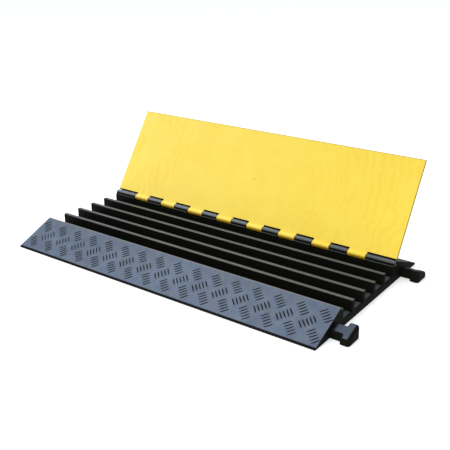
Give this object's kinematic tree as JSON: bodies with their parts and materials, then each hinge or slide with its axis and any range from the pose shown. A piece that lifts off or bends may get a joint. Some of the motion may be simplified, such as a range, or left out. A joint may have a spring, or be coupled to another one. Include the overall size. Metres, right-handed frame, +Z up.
{
  "type": "cable protector ramp",
  "caption": "Drive-over cable ramp: parallel open cable channels between sloped rubber sides, a full-length hinged lid that covers them, and T-shaped heads that join ramps in a row.",
  "frame": {"origin": "centre of the base's underside, without the T-shaped heads", "axes": "+X along the cables to the T-shaped heads, +Y from the front ramp to the rear ramp and the hinge, +Z up"},
  "size_m": [0.948, 0.5263, 0.2679],
  "materials": {
    "base_rubber": "moulded black rubber, satin, with a grey-blue sheen on the ramps",
    "lid_plastic": "moulded yellow plastic, satin, with faint flow marks",
    "rod_steel": "drawn steel bar",
    "plug_plastic": "black moulded plastic"
  },
  "bodies": {
    "base": {"channel_base": "base_rubber", "hinge_rod": "rod_steel", "rod_plug_left": "plug_plastic", "rod_plug_right": "plug_plastic"},
    "lid": {"lid": "lid_plastic"}
  },
  "joints": [
    {"name": "lid_hinge", "type": "hinge", "parent": "base", "child": "lid", "pos_m": [0, 0.1258, 0.0462], "axis": [1, 0, 0], "range_deg": [0, 123.5]}
  ]
}
